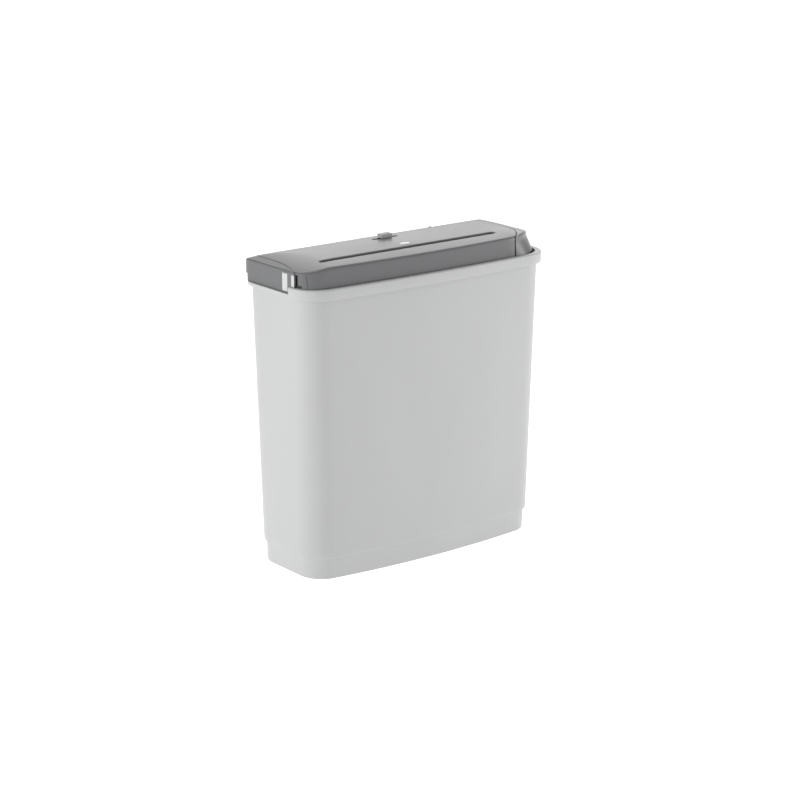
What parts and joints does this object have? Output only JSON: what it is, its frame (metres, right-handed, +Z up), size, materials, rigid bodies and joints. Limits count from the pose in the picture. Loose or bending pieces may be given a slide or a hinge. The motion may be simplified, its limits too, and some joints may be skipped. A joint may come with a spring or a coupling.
{
  "type": "paper shredder",
  "caption": "Strip-cut paper shredder: a crowned cutting head with a feed slot and slide switch, lifting off a tapered open-topped waste bin.",
  "frame": {"origin": "middle of the bin's underside", "axes": "+X along the feed slot, -Y towards the user, +Z up"},
  "size_m": [0.31, 0.1344, 0.3268],
  "materials": {
    "bin_plastic": "fine satin",
    "cover_plastic": "satin grey",
    "cap_plastic": "smooth satin grey",
    "knob_plastic": "satin",
    "housing_plastic": "moulded texture",
    "lens_plastic": "clear moulded",
    "gland_rubber": "matt",
    "bronze": "sintered",
    "gear_plastic": "natural acetal",
    "cutter_steel": "oiled, machined",
    "plated_steel": "zinc plated",
    "motor_steel": "plated",
    "board_laminate": "varnished laminate",
    "capacitor_sleeve": "shrink sleeve"
  },
  "bodies": {
    "bin": {"waste_bin": "bin_plastic"},
    "head": {"top_cover": "cover_plastic", "left_end_cap": "cap_plastic", "right_end_cap": "cap_plastic", "lower_housing": "housing_plastic", "switch_body": "housing_plastic", "indicator_lens": "lens_plastic", "indicator_lamp": "lens_plastic", "cord_gland": "gland_rubber", "cover_screw_1": "plated_steel", "cover_screw_2": "plated_steel", "cover_screw_3": "plated_steel", "cover_screw_4": "plated_steel", "left_cap_screw": "plated_steel", "right_cap_screw": "plated_steel", "left_side_plate": "plated_steel", "right_side_plate": "plated_steel", "tie_rod_1": "plated_steel", "tie_rod_2": "plated_steel", "tie_rod_3": "plated_steel", "tie_nut_left_1": "plated_steel", "tie_nut_left_2": "plated_steel", "tie_nut_left_3": "plated_steel", "tie_nut_right_1": "plated_steel", "tie_nut_right_2": "plated_steel", "tie_nut_right_3": "plated_steel", "front_left_bush": "bronze", "front_right_bush": "bronze", "rear_left_bush": "bronze", "rear_right_bush": "bronze", "front_stripper_comb": "housing_plastic", "rear_stripper_comb": "housing_plastic", "front_paper_guide": "housing_plastic", "rear_paper_guide": "housing_plastic", "idler_pin": "plated_steel", "motor_can": "motor_steel", "motor_end_bell": "housing_plastic", "motor_screw_1": "plated_steel", "motor_screw_2": "plated_steel", "circuit_board": "board_laminate", "capacitor": "capacitor_sleeve", "relay": "housing_plastic", "terminal_block": "board_laminate", "sensor_switch": "housing_plastic", "safety_switch": "housing_plastic"},
    "rear_cutting_roller": {"rear_cutter": "cutter_steel", "rear_cutter_gear": "plated_steel", "drive_gear": "gear_plastic"},
    "front_cutting_roller": {"front_cutter": "cutter_steel", "front_cutter_gear": "plated_steel"},
    "idler": {"idler_gear": "gear_plastic"},
    "rotor": {"motor_rotor": "plated_steel", "motor_pinion": "bronze"},
    "switch": {"switch_knob": "knob_plastic"},
    "paper_sensor": {"sensor_lever": "knob_plastic"},
    "safety_pin": {"safety_plunger": "knob_plastic"}
  },
  "joints": [
    {"name": "head_lift", "type": "slide", "parent": "bin", "child": "head", "axis": [0, 0, 1], "range_m": [0, 0.09]},
    {"name": "rear_cutter_spin", "type": "hinge", "parent": "head", "child": "rear_cutting_roller", "pos_m": [0, -0.008, 0.272], "axis": [1, 0, 0], "continuous": true},
    {"name": "front_cutter_spin", "type": "hinge", "parent": "head", "child": "front_cutting_roller", "pos_m": [0, -0.032, 0.272], "axis": [1, 0, 0], "continuous": true},
    {"name": "idler_spin", "type": "hinge", "parent": "head", "child": "idler", "pos_m": [0, 0.01103, 0.29185], "axis": [1, 0, 0], "continuous": true},
    {"name": "motor_spin", "type": "hinge", "parent": "head", "child": "rotor", "pos_m": [0, 0.0295, 0.275], "axis": [1, 0, 0], "continuous": true},
    {"name": "switch_slide", "type": "slide", "parent": "head", "child": "switch", "axis": [1, 0, 0], "range_m": [-0.006, 0.006]},
    {"name": "sensor_tilt", "type": "hinge", "parent": "head", "child": "paper_sensor", "pos_m": [0, -0.006, 0.306], "axis": [1, 0, 0], "range_deg": [0, 18], "stiffness_Nm_per_rad": 0.004, "springref_deg": -20.05},
    {"name": "safety_press", "type": "slide", "parent": "head", "child": "safety_pin", "axis": [0, 0, 1], "range_m": [0, 0.0025], "stiffness_N_per_m": 200, "springref_m": -0.0015}
  ],
  "couplings": [
    {"joint": "front_cutter_spin", "follows": "rear_cutter_spin", "ratio": -1},
    {"joint": "idler_spin", "follows": "rear_cutter_spin", "ratio": -2.6667},
    {"joint": "motor_spin", "follows": "rear_cutter_spin", "ratio": 10.667}
  ]
}
